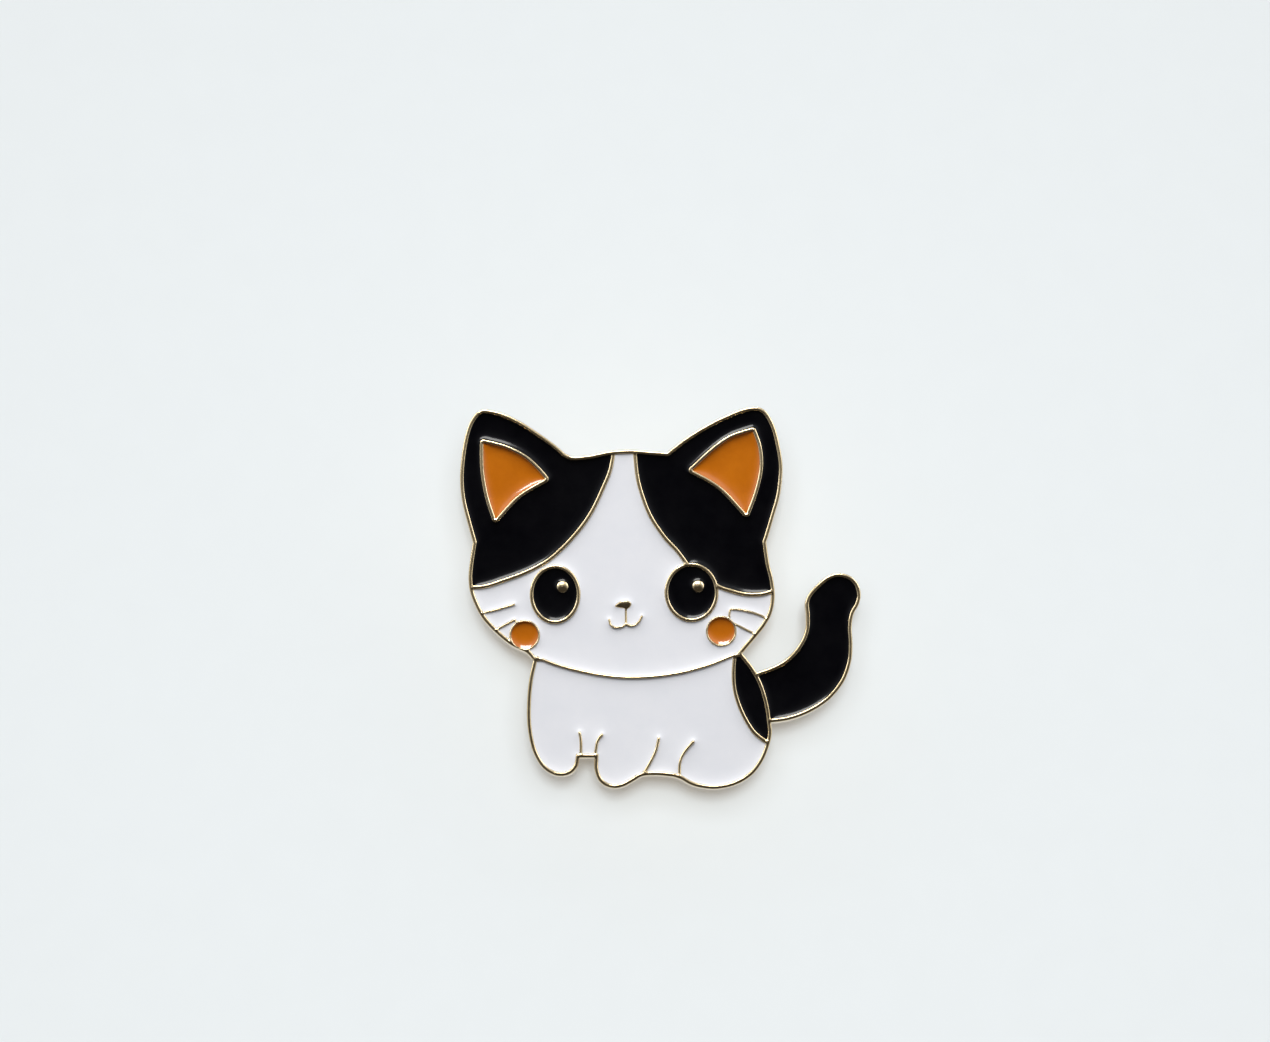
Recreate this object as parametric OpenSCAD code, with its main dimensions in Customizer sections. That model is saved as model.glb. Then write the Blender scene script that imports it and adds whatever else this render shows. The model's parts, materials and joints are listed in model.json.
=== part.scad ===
// Soft-enamel lapel pin: a sitting cat struck in gold-plated metal, its cells filled with
// white, black and orange enamel, on two nail posts with butterfly clutches.
// +X is to the viewer's right, +Z is up, and the face looks along -Y. The origin is on the
// plate's flat back, midway between the two posts.

/* [Plate] */
// Thickness of the struck plate
plate_t = 1.5; // [1.2:0.1:2]
// Width of the raised rim round the outline
rim_w = 0.3; // [0.25:0.01:0.34]
// Width of the raised lines inside the outline
line_w = 0.22; // [0.18:0.01:0.26]
// Width of the raised borders of the black patches, ears and eyes
border_w = 0.3; // [0.22:0.01:0.32]
// Width of the whiskers, the mouth and the rings round the cheeks
fine_w = 0.17; // [0.14:0.01:0.2]
// Depth of the enamel cells below the rim
cell_depth = 0.5; // [0.4:0.05:0.7]
// How far the enamel surface lies below the rim
enamel_drop = 0.1; // [0.05:0.01:0.2]

/* [Posts] */
// Distance between the two posts
post_gap = 11; // [10.6:0.1:11.2]
// Height of the post line above the drawing's own zero
post_rise = 1.5; // [1:0.1:2]
// Diameter of a post
post_d = 1.2; // [1:0.05:1.3]
// Length of a post from the plate's back to its point
post_len = 8; // [8:0.5:10]
// Diameter of the pad that fixes a post in the plate
pad_d = 3; // [2.5:0.1:4]
// Thickness of that pad, sunk flush into the plate's back
pad_t = 0.3; // [0.2:0.05:0.4]

/* [Clutches] */
// Gap left for cloth between the plate's back and a clutch
cloth_gap = 2.2; // [2.1:0.1:2.4]
// Outer diameter of a clutch
cup_d = 10; // [9.6:0.1:10.4]
// Thickness of the clutch's sheet metal
sheet_t = 0.35; // [0.3:0.01:0.4]
// Width of the folded bridge and of the wings where they leave it
bridge_w = 3.6; // [3:0.1:4]
// Width of a wing across its finger tab
tab_w = 4.4; // [4:0.1:4.6]

/* [Hidden] */
$fn = 48;

gold = [0.83, 0.69, 0.42];
brass = [0.85, 0.68, 0.33];
white = [0.93, 0.93, 0.96];
black = [0.03, 0.03, 0.04];
orange = [0.78, 0.42, 0.06];

curve_steps = 4; // straight pieces between two points of a curve
sliver = 0.05; // half the narrowest strip that a cell keeps
far = 40; // farther out than anything drawn

post_x = post_gap / 2;
post_r = post_d / 2;
cell_floor = plate_t - cell_depth;
enamel_t = cell_depth - enamel_drop;

// ---- The drawing, in millimetres seen from the front, with its zero at the eyes' height ----

// Head: from the left notch over both ears and round the cheeks to the neck
left_ear_out = [[-11.1, 3.6], [-11.55, 5.2], [-11.95, 6.8], [-12.1, 8.5], [-11.95, 10.5],
    [-11.6, 12.2], [-11.1, 13.2], [-10.5, 13.65], [-9.75, 13.6], [-8.7, 13.3], [-7.4, 12.65],
    [-6.1, 11.8], [-5, 11], [-4.2, 10.3]];
crown = [[-4.2, 10.3], [-3.6, 10.1], [-2.4, 10.2], [-0.9, 10.5], [0.6, 10.6], [2.1, 10.5],
    [3.4, 10.4]];
right_ear_out = [[3.4, 10.4], [4.8, 11.5], [6.4, 12.5], [8, 13.3], [9.2, 13.75], [10.2, 13.85],
    [10.9, 13.45], [11.5, 12.3], [11.9, 10.6], [12.05, 9.1], [11.85, 7.2], [11.4, 5.6],
    [10.8, 3.6]];
right_cheek_side = [[10.8, 3.6], [11, 2.1], [11.3, 0.8], [11.4, -0.4], [11.2, -1.6],
    [10.75, -2.5], [10.1, -3.35], [8.95, -4.7]];
left_cheek_side = [[-6.6, -5.2], [-7.1, -4.65], [-8.3, -4.05], [-9.65, -2.9], [-10.55, -1.8],
    [-11.2, -0.4], [-11.4, 0.7], [-11.35, 1.9], [-11.1, 3.6]];
chin = [[-6.5, -5.2], [-6.1, -5.1], [-5, -5.5], [-3.6, -5.9], [-1.7, -6.3], [0.2, -6.5],
    [2.2, -6.45], [4.1, -6.2], [5.4, -5.9], [6.7, -5.5], [8.2, -4.9], [8.95, -4.7]];

// Body: down the left side, round the four feet and up to the tail
first_foot = [[-6.5, -5], [-6.85, -6.6], [-7, -8.4], [-6.95, -10.2], [-6.6, -11.85],
    [-5.95, -13.05], [-5.15, -13.65], [-4.4, -13.8], [-3.7, -13.6], [-3.25, -13.1],
    [-3.1, -12.45]];
second_foot = [[-2, -12.45], [-2, -13.3], [-1.7, -14.1], [-1.15, -14.55], [-0.5, -14.7],
    [0.2, -14.55], [0.95, -14.15], [1.6, -13.8], [2.7, -13.75], [3.8, -13.85]];
hind_foot = [[3.8, -13.85], [4.4, -14.05], [5, -14.4], [5.8, -14.65], [7, -14.75],
    [8.4, -14.45], [9.6, -13.75], [10.4, -12.75], [10.9, -11.6], [11.12, -10.6],
    [11.05, -9.8]];
rump = [[11.05, -9.8], [10.95, -8.9], [10.7, -7.8], [10.35, -6.8], [9.8, -5.8], [8.95, -4.7]];

// Tail: up its inner side, round the bulb and down its outer side
tail_out = [[9.9, -6.15], [11.4, -5.6], [12.45, -4.9], [13.25, -3.9], [13.65, -2.9],
    [13.7, -1.8], [13.65, -0.9], [13.95, -0.2], [14.6, 0.5], [15.3, 1.05], [16.1, 1.3],
    [17, 1.1], [17.6, 0.5], [17.8, -0.3], [17.65, -1.05], [17.25, -1.8], [17.1, -2.75],
    [17.15, -3.9], [17.05, -5.25], [16.55, -6.7], [15.6, -7.95], [14.55, -8.75],
    [13.35, -9.35], [12.2, -9.7], [11.05, -9.85]];

// Borders between the colours
left_patch_edge = [[-0.55, 10.8], [-0.85, 9.1], [-1.4, 7.7], [-2.12, 6.15], [-2.95, 4.85],
    [-4.1, 3.5], [-5.3, 2.4], [-6.25, 1.8], [-7.4, 1.25], [-8.9, 0.7], [-10.2, 0.3],
    [-11.5, 0.2]];
right_patch_edge = [[0.95, 10.8], [1.15, 8.7], [1.55, 7.1], [2.2, 5.5], [3.2, 4], [4.2, 2.9],
    [5.2, 1.5]];
right_patch_base = [[6.6, 0.75], [7.2, 0.3], [8.2, -0.05], [9.3, -0.3], [10.5, -0.27],
    [11.5, 0.05]];
haunch_edge = [[8.4, -4.9], [8.3, -6.2], [8.4, -7.5], [8.8, -8.8], [9.35, -9.9], [9.95, -10.7],
    [10.9, -11.4]];
leg_lines = [
    [[-3.1, -10.6], [-3, -11.3], [-3.02, -12.6]],
    [[-1.45, -10.75], [-1.8, -11.3], [-1.97, -12.6]],
    [[2.75, -11], [2.5, -12], [1.85, -13.25], [1.45, -13.8]],
    [[5.3, -11.25], [4.6, -12.1], [4.3, -12.9], [4.3, -14]],
];
left_ear_sides = [
    [[-10.35, 11.1], [-8.8, 10.7], [-7.45, 10.05], [-6.5, 9.25], [-5.75, 8.4]],
    [[-5.75, 8.4], [-7.3, 7.5], [-8.2, 6.75], [-9.4, 5.4]],
    [[-9.4, 5.4], [-9.95, 7.1], [-10.3, 9.1], [-10.35, 11.1]],
];
right_ear_sides = [
    [[9.8, 12], [10.2, 10.8], [10.3, 9.3], [9.95, 7.6], [9.3, 5.8]],
    [[9.3, 5.8], [7.8, 7.45], [6.7, 8.3], [5.3, 9.05]],
    [[5.3, 9.05], [6.8, 10.45], [8.2, 11.45], [9.8, 12]],
];

// Eyes, cheeks and the small features, as [x, z] centres and half sizes
left_eye = [-4.95, -0.3];
left_eye_size = [1.6, 1.93];
right_eye = [5.2, -0.15];
right_eye_size = [1.72, 1.93];
catchlight_r = 0.45;
left_catchlight = [-4.4, 0.28];
right_catchlight = [5.7, 0.32];
cheek_r = 0.98;
left_cheek = [-7.2, -3.35];
right_cheek = [7.4, -3.05];
left_cheek_ties = [[[-7.9, -3.9], [-8.45, -4.1]], [[-6.95, -4.3], [-6.75, -4.9]],
    [[-7.95, -2.2], [-7.75, -2.45]]];
left_whiskers = [[[-10.8, -1.8], [-9.3, -1.45], [-8, -1.05]], [[-9.8, -3.2], [-7.95, -2.2]]];
right_whiskers = [[[8, -2], [8.05, -1.55], [8.3, -1.4], [9.35, -1.55], [10.4, -1.9],
    [11.1, -2.4]], [[8.2, -2.4], [10.4, -3.5]]];
nose = [[-0.5, -1.2], [-0.15, -0.85], [0.3, -0.74], [0.68, -0.9], [0.7, -1.15], [0.4, -1.42],
    [0.1, -1.35]];
mouth_lines = [
    [[0.32, -1.3], [0.32, -2.55]],
    [[-0.92, -2.2], [-0.8, -2.6], [-0.45, -2.78], [0, -2.72], [0.32, -2.55]],
    [[0.32, -2.55], [0.8, -2.65], [1.25, -2.4], [1.5, -1.95]],
];

// ---- Curves ----

// One point of a smooth curve between b and c, at u from 0 to 1
function between(a, b, c, d, u) =
    b + (c - a) * u / 2 + (2 * a - 5 * b + 4 * c - d) * u * u / 2
    + (3 * b - a - 3 * c + d) * u * u * u / 2;

// A smooth open curve through all the points
function curve(p) = let (last = len(p) - 1) [
    for (i = [0:last - 1], k = [0:curve_steps - 1])
        between(p[max(i - 1, 0)], p[i], p[i + 1], p[min(i + 2, last)], k / curve_steps),
    p[last],
];

// A smooth closed loop through all the points
function loop(p) = let (n = len(p)) [
    for (i = [0:n - 1], k = [0:curve_steps - 1])
        between(p[(i + n - 1) % n], p[i], p[(i + 1) % n], p[(i + 2) % n], k / curve_steps),
];

function reversed(p) = [for (i = [len(p) - 1:-1:0]) p[i]];

// The point i of a path moved sideways by d
function beside(path, i, d) =
    let (along = path[min(i + 1, len(path) - 1)] - path[max(i - 1, 0)])
    path[i] + [-along.y, along.x] * d / norm(along);

function ribbon(path, w) = concat(
    [for (i = [0:len(path) - 1]) beside(path, i, w / 2)],
    [for (i = [len(path) - 1:-1:0]) beside(path, i, -w / 2)]
);

// A line of even width with round ends
module stroke(path, w) {
    polygon(ribbon(path, w));
    for (end = [path[0], path[len(path) - 1]])
        translate(end) circle(d = w, $fn = 16);
}

module strokes(lines, w) {
    for (points = lines)
        stroke(curve(points), w);
}

module ellipse(centre, size) {
    translate(centre) scale(size) circle(r = 1, $fn = 48);
}

// ---- Flat regions ----

module head_shape() {
    polygon(concat(curve(left_ear_out), curve(crown), curve(right_ear_out),
        curve(right_cheek_side), reversed(curve(chin)), curve(left_cheek_side)));
}

module body_shape() {
    polygon(concat(curve(first_foot), curve(second_foot), curve(hind_foot), curve(rump)));
}

module tail_shape() {
    polygon(concat(curve(tail_out), [[9.9, -8.5]]));
}

module outline() {
    head_shape();
    body_shape();
    tail_shape();
}

module left_patch_side() {
    polygon(concat(curve(left_patch_edge), [[-far, 0], [-far, far], [-0.55, far]]));
}

// The edge runs behind the right eye, whose ring covers the corner
module right_patch_side() {
    polygon(concat(curve(right_patch_edge), curve(right_patch_base),
        [[far, 0], [far, far], [0.95, far]]));
}

module haunch_side() {
    polygon(concat(curve(haunch_edge), [[far, -11.4], [far, -4.9]]));
}

module ear_cell(sides) {
    polygon([for (side = sides, point = curve(side)) point]);
}

module grown(w) {
    offset(r = w, $fn = 16) children();
}

// Everything raised inside the rim of the head
module head_lines() {
    stroke(curve(chin), line_w);
    for (edge = [left_patch_edge, right_patch_edge, right_patch_base])
        stroke(curve(edge), border_w);
    grown(border_w) {
        ear_cell(left_ear_sides);
        ear_cell(right_ear_sides);
        ellipse(left_eye, left_eye_size);
        ellipse(right_eye, right_eye_size);
    }
    grown(fine_w) {
        ellipse(left_cheek, [cheek_r, cheek_r]);
        ellipse(right_cheek, [cheek_r, cheek_r]);
    }
    strokes(concat(left_cheek_ties, left_whiskers, right_whiskers, mouth_lines), fine_w);
    polygon(loop(nose));
}

module body_lines() {
    strokes(leg_lines, line_w);
    stroke(curve(haunch_edge), border_w);
}

// A region inside the rim and clear of the raised lines, without slivers too thin to fill
module cell() {
    offset(delta = sliver) offset(delta = -sliver) intersection() {
        offset(delta = -rim_w) outline();
        children();
    }
}

module head_cell() {
    cell() difference() {
        intersection() {
            head_shape();
            children();
        }
        head_lines();
    }
}

// Where the tail leaves the body, the body keeps a rim of its own between the two
module body_cell() {
    cell() difference() {
        intersection() {
            offset(delta = -rim_w) body_shape();
            children();
        }
        head_shape();
        stroke(curve(chin), line_w);
        body_lines();
    }
}

// The corners between whiskers and cheek that the raised lines close off
module left_whisker_corner() {
    polygon([[-9.8, -3.2], [-7.95, -2.2], [-7.75, -2.45], left_cheek, [-7.9, -3.9],
        [-8.45, -4.1], [-9.8, -4.1]]);
}

module right_whisker_corner() {
    polygon([[8.05, -1.5], [8.3, -1.4], [10.4, -1.9], [11.4, -2.3], [10.2, -3.45],
        [8.3, -2.5], [7.9, -2]]);
}

module face_cell() {
    head_cell() difference() {
        square(far, center = true);
        left_patch_side();
        right_patch_side();
        left_whisker_corner();
        right_whisker_corner();
    }
}

module whisker_cell(left) {
    head_cell() {
        if (left) left_whisker_corner();
        else right_whisker_corner();
    }
}

module patch_cell(left) {
    head_cell() {
        if (left) left_patch_side();
        else right_patch_side();
    }
}

module eye_cell(centre, size, catchlight) {
    offset(delta = 0) difference() {
        ellipse(centre, size);
        ellipse(catchlight, [catchlight_r, catchlight_r]);
    }
}

module cheek_cell(centre) {
    ellipse(centre, [cheek_r, cheek_r]);
}

module trunk_cell() {
    body_cell() difference() {
        square(far, center = true);
        haunch_side();
    }
}

module haunch_cell() {
    body_cell() haunch_side();
}

module tail_cell() {
    cell() difference() {
        tail_shape();
        body_shape();
    }
}

// ---- The struck plate and its enamel ----

// Stands a flat region up in the plate, from depth `back` to depth `back + t` behind the face
module layer(back, t) {
    translate([0, 0, -post_rise]) rotate([90, 0, 0]) translate([0, 0, back])
        linear_extrude(t) children();
}

module at_post(side) {
    translate([side * post_x, 0, 0]) rotate([-90, 0, 0]) children();
}

module cut_cell() {
    layer(cell_floor, cell_depth + 1) children();
}

module base_plate() {
    color(gold) difference() {
        layer(0, plate_t) offset(delta = 0) outline();
        cut_cell() face_cell();
        cut_cell() whisker_cell(true);
        cut_cell() whisker_cell(false);
        cut_cell() patch_cell(true);
        cut_cell() patch_cell(false);
        cut_cell() ear_cell(left_ear_sides);
        cut_cell() ear_cell(right_ear_sides);
        cut_cell() eye_cell(left_eye, left_eye_size, left_catchlight);
        cut_cell() eye_cell(right_eye, right_eye_size, right_catchlight);
        cut_cell() cheek_cell(left_cheek);
        cut_cell() cheek_cell(right_cheek);
        cut_cell() trunk_cell();
        cut_cell() haunch_cell();
        cut_cell() tail_cell();
        for (side = [-1, 1])
            at_post(side) translate([0, 0, -pad_t]) cylinder(d = pad_d, h = pad_t + 1);
    }
}

module enamel(shade) {
    color(shade) layer(cell_floor, enamel_t) children();
}

// ---- Posts ----

// A nail post: sunk pad, shank, and a necked point that the clutch's jaws snap behind
module post(side) {
    neck_depth = 0.2;
    neck_r = post_r - neck_depth;
    neck_at = post_len - 2;
    land_at = post_len - 1.4;
    cone_at = post_len - 0.9;
    color(gold) at_post(side) rotate_extrude() polygon([
        [0, -pad_t], [pad_d / 2, -pad_t], [pad_d / 2, 0], [post_r, 0],
        [post_r, neck_at], [neck_r, neck_at + neck_depth],
        [neck_r, land_at - neck_depth], [post_r, land_at],
        [post_r, cone_at], [0.08, post_len], [0, post_len],
    ]);
}

// ---- Clutches ----
// A clutch's own frame has +Z along the post, with zero at the rim that meets the cloth, and
// +Y towards its upper wing.

rim_roll_r = 0.45;
dish_z = 0.5; // underside of the outer floor
boss_r = 3.7;
boss_z = dish_z + 0.2; // underside of the raised middle
boss_top = boss_z + sheet_t;
bridge_top = boss_top + sheet_t;
eyelet_r = 1;
eyelet_bore_r = post_r + 0.05;
running = 0.03; // clearance of a part that turns on another
flange_t = 0.2;
hook_y = 1.87; // where a wing's root sits, from the post's axis
hook_z = 3.6;
root_r = 0.4;
root_w = bridge_w - 0.6;
wing_t = sheet_t - 0.05;
hook_in = root_r + running;
hook_out = hook_in + wing_t;
bridge_half = hook_y + hook_out;
jaw_r = post_r + 0.02;

// Centre line of a wing: jaw lip, root, shoulder and finger tab
wing_line = [[0.2, 2.25], [0.9, 2.35], [1.4, 2.85], [1.87, 3.6], [1.72, 4.5], [2.15, 5.05],
    [3.1, 5.2], [3.9, 5.55], [4.4, 6.1]];

module on_post(side) {
    at_post(side) translate([0, 0, cloth_gap]) rotate([0, 0, 180]) children();
}

// A tube riveted through the cup and the bridge, free to slide on the post
module eyelet(side) {
    color(brass) on_post(side) rotate_extrude() polygon([
        [eyelet_bore_r, boss_z - running - flange_t],
        [eyelet_r + 0.6, boss_z - running - flange_t],
        [eyelet_r + 0.6, boss_z - running],
        [eyelet_r, boss_z - running],
        [eyelet_r, bridge_top + running],
        [eyelet_r + 0.4, bridge_top + running],
        [eyelet_r + 0.4, bridge_top + running + flange_t],
        [eyelet_bore_r, bridge_top + running + flange_t],
    ]);
}

// A stamped dish with a rolled rim and a raised middle
module cup(side) {
    rim_at = cup_d / 2 - rim_roll_r;
    color(brass) on_post(side) rotate_extrude() {
        translate([rim_at, rim_roll_r]) circle(r = rim_roll_r);
        translate([eyelet_r + running, boss_z])
            square([boss_r - eyelet_r - running, sheet_t]);
        translate([boss_r - 0.35, dish_z]) square([rim_at - boss_r + 0.35, sheet_t]);
    }
}

module hook() {
    translate([hook_y, hook_z]) intersection() {
        difference() {
            circle(r = hook_out);
            circle(r = hook_in);
        }
        polygon([[0, 0], [1.4, -1.2], [1.4, 1.6], [0.9, 1.6]]);
    }
}

module bridge_profile() {
    translate([-bridge_half, boss_top]) square([2 * bridge_half, sheet_t]);
    for (way = [0, 1])
        mirror([way, 0]) {
            translate([hook_y + hook_in, boss_top])
                square([hook_out - hook_in, hook_z - boss_top]);
            hook();
        }
}

// Extrudes a profile drawn across the clutch, as wide as w along the clutch's X
module across(w) {
    rotate([90, 0, 90]) linear_extrude(w, center = true) children();
}

// A folded strip under the eyelet's flange, whose ends hook round the wings' roots
module bridge(side) {
    color(brass) on_post(side) difference() {
        across(bridge_w) bridge_profile();
        cylinder(r = eyelet_r + running, h = 3);
    }
}

// A wing seen along the post: narrow at the jaw, wide and rounded at the finger tab
module wing_plan() {
    tab_from = 2.9;
    tab_end = 4.6;
    corner = 0.9;
    polygon([[-root_w / 2, 0], [root_w / 2, 0], [root_w / 2, 2.2], [tab_w / 2, tab_from],
        [tab_w / 2, tab_end - corner], [-tab_w / 2, tab_end - corner],
        [-tab_w / 2, tab_from], [-root_w / 2, 2.2]]);
    for (x = [-1, 1])
        translate([x * (tab_w / 2 - corner), tab_end - corner]) circle(r = corner);
    translate([corner - tab_w / 2, tab_end - corner - 0.1])
        square([tab_w - 2 * corner, corner + 0.1]);
}

// A spring wing: squeezing both tabs together opens the jaws
module wing(side, way) {
    color(brass) on_post(side) mirror([0, way]) difference() {
        union() {
            intersection() {
                across(tab_w) offset(delta = 0) stroke(curve(wing_line), wing_t);
                linear_extrude(8) wing_plan();
            }
            translate([0, hook_y, hook_z]) rotate([0, 90, 0])
                cylinder(r = root_r, h = root_w, center = true);
        }
        cylinder(r = jaw_r, h = 8);
    }
}

base_plate();
enamel(white) face_cell();  // face_enamel
enamel(white) whisker_cell(true);  // left_whisker_enamel
enamel(white) whisker_cell(false);  // right_whisker_enamel
enamel(black) patch_cell(true);  // left_patch_enamel
enamel(black) patch_cell(false);  // right_patch_enamel
enamel(orange) ear_cell(left_ear_sides);  // left_ear_enamel
enamel(orange) ear_cell(right_ear_sides);  // right_ear_enamel
enamel(black) eye_cell(left_eye, left_eye_size, left_catchlight);  // left_eye_enamel
enamel(black) eye_cell(right_eye, right_eye_size, right_catchlight);  // right_eye_enamel
enamel(orange) cheek_cell(left_cheek);  // left_cheek_enamel
enamel(orange) cheek_cell(right_cheek);  // right_cheek_enamel
enamel(white) trunk_cell();  // body_enamel
enamel(black) haunch_cell();  // haunch_enamel
enamel(black) tail_cell();  // tail_enamel
post(-1);  // left_post
post(1);  // right_post
eyelet(-1);  // left_clutch_eyelet
cup(-1);  // left_clutch_cup
bridge(-1);  // left_clutch_bridge
wing(-1, 0);  // left_clutch_upper_wing
wing(-1, 1);  // left_clutch_lower_wing
eyelet(1);  // right_clutch_eyelet
cup(1);  // right_clutch_cup
bridge(1);  // right_clutch_bridge
wing(1, 0);  // right_clutch_upper_wing
wing(1, 1);  // right_clutch_lower_wing
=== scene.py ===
"""Looks of a soft-enamel lapel pin: a sitting cat in gold-plated metal with white, black and
orange enamel, on two nail posts with butterfly clutches.

The frame is the CAD model's: metres, +X to the viewer's right, +Z up, the face towards -Y.
Outlines are worked on in millimetres, as (x, z) pairs read from the CAD nodes' front faces.
"""
import json
import math
from itertools import compress

import bpy
import numpy as np
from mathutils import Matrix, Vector
from mathutils.geometry import delaunay_2d_cdt
from mathutils.kdtree import KDTree


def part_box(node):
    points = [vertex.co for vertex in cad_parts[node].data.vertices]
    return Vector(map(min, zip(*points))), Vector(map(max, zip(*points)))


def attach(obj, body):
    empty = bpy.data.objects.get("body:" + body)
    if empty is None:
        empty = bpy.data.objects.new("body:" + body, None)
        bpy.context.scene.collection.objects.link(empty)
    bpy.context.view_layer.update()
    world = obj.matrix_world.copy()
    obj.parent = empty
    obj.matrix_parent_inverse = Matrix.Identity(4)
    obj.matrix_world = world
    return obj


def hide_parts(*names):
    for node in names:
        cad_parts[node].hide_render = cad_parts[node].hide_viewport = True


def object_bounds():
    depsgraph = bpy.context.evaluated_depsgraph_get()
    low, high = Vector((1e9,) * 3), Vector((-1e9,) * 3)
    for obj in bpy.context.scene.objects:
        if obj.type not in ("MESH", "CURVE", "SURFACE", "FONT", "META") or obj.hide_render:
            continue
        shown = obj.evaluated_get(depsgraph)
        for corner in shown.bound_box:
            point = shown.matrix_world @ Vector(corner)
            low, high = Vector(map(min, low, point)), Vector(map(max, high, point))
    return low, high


MM = 0.001

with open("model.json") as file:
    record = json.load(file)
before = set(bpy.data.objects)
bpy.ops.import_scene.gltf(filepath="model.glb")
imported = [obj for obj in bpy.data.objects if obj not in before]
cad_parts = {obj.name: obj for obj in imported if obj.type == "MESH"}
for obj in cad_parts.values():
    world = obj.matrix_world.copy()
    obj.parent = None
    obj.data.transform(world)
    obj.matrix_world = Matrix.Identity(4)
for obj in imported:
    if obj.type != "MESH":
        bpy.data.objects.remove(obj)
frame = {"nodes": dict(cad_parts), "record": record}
cad_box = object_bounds()
NODES = frame["nodes"]
SLOT_OF = {part["node"]: part["material_slot"] for part in frame["record"]["subparts"]}

# ---- Sizes, in millimetres ----

EDGE_STEP = 0.14        # longest piece of an outline
SHORTEST_EDGE = 0.02    # corners closer than this are one
SAME_DEPTH = 1e-3       # points this close in depth are on one flat face
SAME_PLACE = 1e-5       # points closer than this are one to the triangulation
TINY = 1e-9             # keeps a division from failing
SOFT_BEND = 24          # degrees; an outline is smoothed where it bends less
LOPSIDED = 3            # a bend follows its longer edge if that is this many times the other
RING_GAP = 0.6 * EDGE_STEP      # least gap between the points of a ring inside an outline
RING_KEEPS = 0.93       # share of its distance that a ring keeps from every outline
ROW_SHARE = 0.87        # gap between a grid's rows, as a share of the gap along them
NEAR_CORNERS = 4        # how many corners are tried to find the nearest edge
CHUNK = 500             # points that are compared with the outlines at once
SHARP_DEG = 40          # a solid's edges that bend more stay sharp
CORNER_STEPS = 5        # pieces in a rounded corner
CORNER_TAKES = 0.49     # most of an edge that the rounding of one corner takes
CURVE_STEPS = 8         # pieces between two of a curve's points
ROUND_POINTS = 64       # points round a small circle

# Raised metal. Rings are rows of points that follow an outline at these distances
METAL_ROUNDING = 0.12   # radius on the raised lines' shoulders
METAL_RINGS = (0.02, 0.05, 0.09)
# The eyes' round catchlights are told from other metal by their area, and by what share it is
# of the area of a circle with their perimeter
DOME_AREA = (0, 1)
DOME_ROUNDNESS = 0.95
DOME_RISE = 0.16        # how far a catchlight bulges
DOME_RINGS = (0.1, 0.3, 0.5, 0.65)      # shares of a catchlight's radius
DOME_POINTS = 50        # points that a ring as wide as the catchlight would have
NOSE_AREA = (1, 3)      # area that tells the island of nose and mouth from the others
NOSE_HEIGHT = 0.66
NOSE_LEAN = 0.16        # how the nose slopes back towards its foot
MOUTH_LEVEL = 1.8       # nose heights from its top to where the metal is full height again
BACK_ROUNDING = 0.06
# Rings round the back's edge: shares of the rounding that they lie in from the side and before
# the back, and the degrees that they face backwards
BACK_RINGS = ((0, 1, 0), (0.3, 0.3, 45), (1, 0, 90))
PAD_GROOVE = 0.015      # gap round a post's pad

# Enamel
ENAMEL_RINGS = (0.05, 0.12, 0.21, 0.33, 0.48)
ENAMEL_GRID = 0.42      # spacing of the points in a pool's middle
ENAMEL_EDGE = 0.02      # how far the enamel's edge lies behind the CAD's flat surface
ENAMEL_REACH = 0.33     # how far from the metal the enamel still climbs
# Depth of a wide pool's middle below its edge
ENAMEL_SAG = {"white_enamel": 0.11, "black_enamel": 0.19, "orange_enamel": 0.22}
SETTLING = 80           # rounds that even out a pool's surface
TIGHTEST = 20           # how strongly the points across from a sharp corner may be tied

# Post, across from its axis and along from its point. The plate's back is at depth 0
POST_R, NECK_R = 0.6, 0.4
NECK_FROM, NECK_TO, NECK_SLOPE = 2.0, 1.4, 0.2
POINT_FROM, POINT_R = 0.9, 0.08
POINT_CLOSES = 0.01     # radius of the flat that ends the point
PAD_CHAMFER = 0.05

# Clutch, across from the post's axis and along the post from the clutch's front rim
SHEET = 0.35            # thickness of the cup and the bridge
SPRING = 0.3            # thickness of the hooks and the wings
ROLL_R = 0.45           # radius of the cup's rolled rim
ROLL_POINTS = 26
DISH, BOSS = 0.5, 0.7   # fronts of the cup's outer floor and raised middle
BOSS_R = 3.5
EYELET_R, EYELET_BORE = 1.0, 0.65
HEAD_LIP, TAIL_LIP = 0.6, 0.4   # how far the eyelet's two flanges reach
FLANGE_T = 0.2
RUNNING = 0.03          # gap between pieces that fit round each other
HOOK = (1.87, 3.6)      # where a wing's root lies
HOOK_INNER, ROOT_R = 0.43, 0.4          # radius inside a hook, and of the root in it
HOOK_OPENS = 60         # degrees that a hook goes on past the straight arm
HOOK_STEP = 7.5         # degrees between its points
ARM_ROWS = (3.6, 3.2, 2.8, 2.4, 2.0)    # points down the bridge's straight arm
ARM_BEND = 0.32         # radius between the arm and the base
THINNED_BY = 0.4        # behind the base, where the arm is down to the spring's thickness
BASE_GAP = 0.01         # on both sides of the base, between the cup and the eyelet
BASE_ROWS = np.arange(2.0, -2.1, -0.25)     # points along the base
END_ROUNDING = 0.3      # corners of the bridge's ends and of a wing's jaw
BRIDGE_HALF, ROOT_HALF, TAB_HALF = 1.8, 1.5, 2.2
JAW_R = 0.62            # radius of the notch that grips the post
WING_LINE = ((0.2, 2.25), (0.9, 2.35), (1.4, 2.85), HOOK, (1.72, 4.5), (2.15, 5.05),
             (3.1, 5.2), (3.9, 5.55), (4.4, 6.1))
WING_TIP = 0.11         # how far a wing goes on past its line's ends
JAW_TO = 1.5            # outward, where the jaw's part of the wing line ends
FLARE = (2.2, 2.9)      # outward, where the wing starts and stops widening into its tab
FLARE_ROUNDING, TAB_ROUNDING = 0.5, 1.0
SHEET_EDGE = 0.09       # rounding of a stamped sheet's edges
SHEET_RINGS = (0.02, 0.05, 0.09)
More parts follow.
